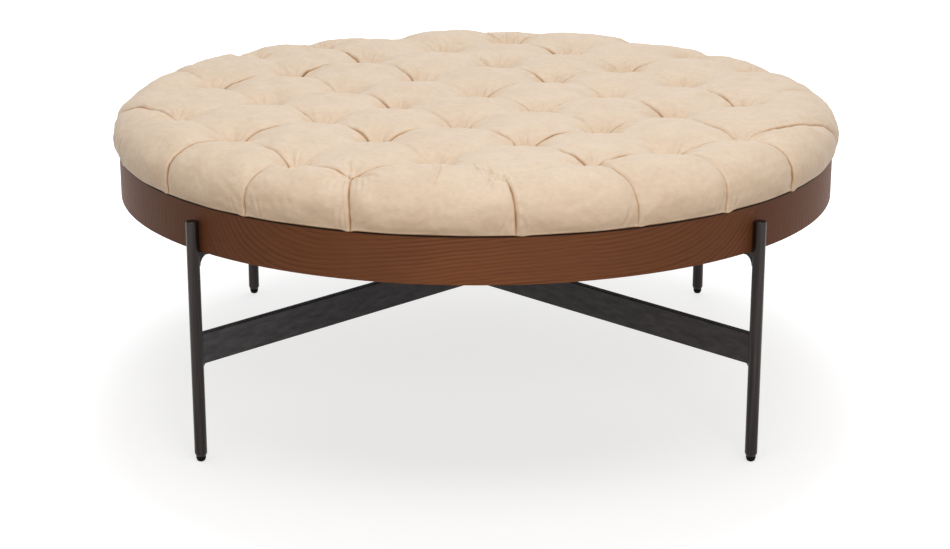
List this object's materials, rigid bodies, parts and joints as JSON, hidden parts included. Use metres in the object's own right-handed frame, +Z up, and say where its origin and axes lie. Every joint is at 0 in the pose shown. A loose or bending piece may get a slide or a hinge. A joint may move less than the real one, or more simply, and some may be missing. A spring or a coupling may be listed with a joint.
{
  "type": "ottoman coffee table",
  "caption": "Round low ottoman coffee table: diamond-tufted leather cushion on a stained wood ring, carried by slim round metal legs with crossed flat bars and levelling feet.",
  "frame": {"origin": "on the floor under the centre of the round top", "axes": "+Z up through the centre of the top, front of the pictured view towards -Y, legs on the diagonals between the X and Y axes"},
  "size_m": [0.9905, 0.9905, 0.4064],
  "materials": {
    "cream_leather": "soft semi-aniline leather, low sheen",
    "foam": "open-cell upholstery foam",
    "twine": "waxed tufting twine",
    "dust_cloth": "black non-woven cloth",
    "walnut_wood": "walnut-stained solid wood, satin lacquer",
    "plain_wood": "bare plywood and hardwood",
    "dark_metal": "dark bronze, satin",
    "zinc_steel": "zinc plated",
    "black_plastic": "matte black nylon"
  },
  "bodies": {
    "table": {"apron_front": "walnut_wood", "apron_right": "walnut_wood", "apron_rear": "walnut_wood", "apron_left": "walnut_wood", "apron_dowels": "plain_wood", "corner_block_front_left": "plain_wood", "corner_block_front_right": "plain_wood", "corner_block_rear_right": "plain_wood", "corner_block_rear_left": "plain_wood", "bracket_screws": "zinc_steel", "deck_screws": "zinc_steel", "leg_front_left": "dark_metal", "leg_front_right": "dark_metal", "leg_rear_right": "dark_metal", "leg_rear_left": "dark_metal", "leg_bracket_front_left": "dark_metal", "leg_bracket_front_right": "dark_metal", "leg_bracket_rear_right": "dark_metal", "leg_bracket_rear_left": "dark_metal", "stretcher_through": "dark_metal", "stretcher_half_front": "dark_metal", "stretcher_half_rear": "dark_metal", "deck_board": "plain_wood", "dust_cover": "dust_cloth", "foam_core": "foam", "leather_cover": "cream_leather", "tuft_ties": "twine"},
    "leveller_front_left": {"foot_front_left": "black_plastic", "foot_stud_front_left": "zinc_steel"},
    "leveller_front_right": {"foot_front_right": "black_plastic", "foot_stud_front_right": "zinc_steel"},
    "leveller_rear_right": {"foot_rear_right": "black_plastic", "foot_stud_rear_right": "zinc_steel"},
    "leveller_rear_left": {"foot_rear_left": "black_plastic", "foot_stud_rear_left": "zinc_steel"}
  },
  "joints": [
    {"name": "leveller_front_left", "type": "slide", "parent": "table", "child": "leveller_front_left", "axis": [0, 0, -1], "range_m": [0, 0.01]},
    {"name": "leveller_front_right", "type": "slide", "parent": "table", "child": "leveller_front_right", "axis": [0, 0, -1], "range_m": [0, 0.01]},
    {"name": "leveller_rear_right", "type": "slide", "parent": "table", "child": "leveller_rear_right", "axis": [0, 0, -1], "range_m": [0, 0.01]},
    {"name": "leveller_rear_left", "type": "slide", "parent": "table", "child": "leveller_rear_left", "axis": [0, 0, -1], "range_m": [0, 0.01]}
  ]
}
